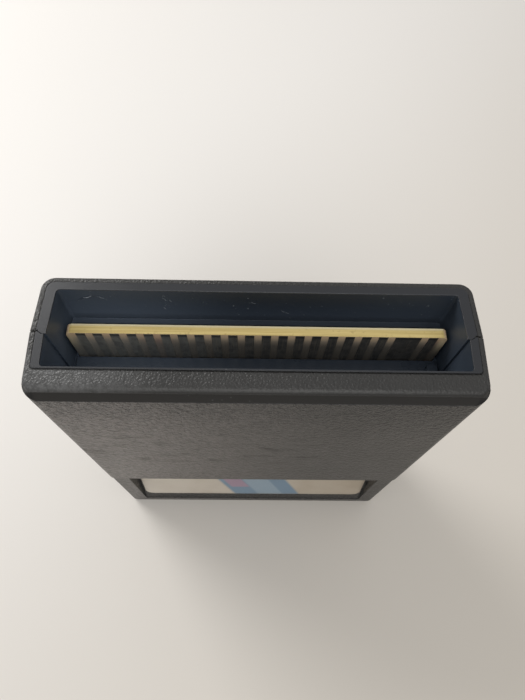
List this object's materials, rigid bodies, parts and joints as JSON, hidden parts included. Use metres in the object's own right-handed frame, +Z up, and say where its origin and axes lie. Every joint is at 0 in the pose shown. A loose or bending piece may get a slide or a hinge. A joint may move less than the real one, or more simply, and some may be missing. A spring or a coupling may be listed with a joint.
{
  "type": "game cartridge",
  "caption": "Black moulded game cartridge standing on its label end, with a recessed circuit-board edge in its open mouth and a sloping label recess.",
  "frame": {"origin": "centre of the bounding box's bottom, on the surface that the label end stands on", "axes": "+Z up from the label end to the mouth, +X across the width, -Y out of the label side"},
  "size_m": [0.064, 0.0186, 0.078],
  "materials": {
    "case_plastic": "black moulded plastic, leather grain outside, smooth rim and mouth",
    "label_paper": "coated paper label with plain fields of colour",
    "board_laminate": "bare tan laminate with a sawn edge",
    "contact_metal": "tarnished plated copper",
    "chip_resin": "moulded black resin",
    "lead_metal": "tinned metal",
    "capacitor_ceramic": "dipped ceramic body",
    "screw_steel": "zinc-plated steel"
  },
  "bodies": {
    "root": {"front_shell": "case_plastic", "rear_shell": "case_plastic", "label": "label_paper", "circuit_board": "board_laminate", "front_contacts": "contact_metal", "rear_contacts": "contact_metal", "upper_chip": "chip_resin", "upper_chip_leads": "lead_metal", "lower_chip": "chip_resin", "lower_chip_leads": "lead_metal", "capacitors": "capacitor_ceramic", "capacitor_wires": "lead_metal", "case_screw": "screw_steel"}
  },
  "joints": []
}
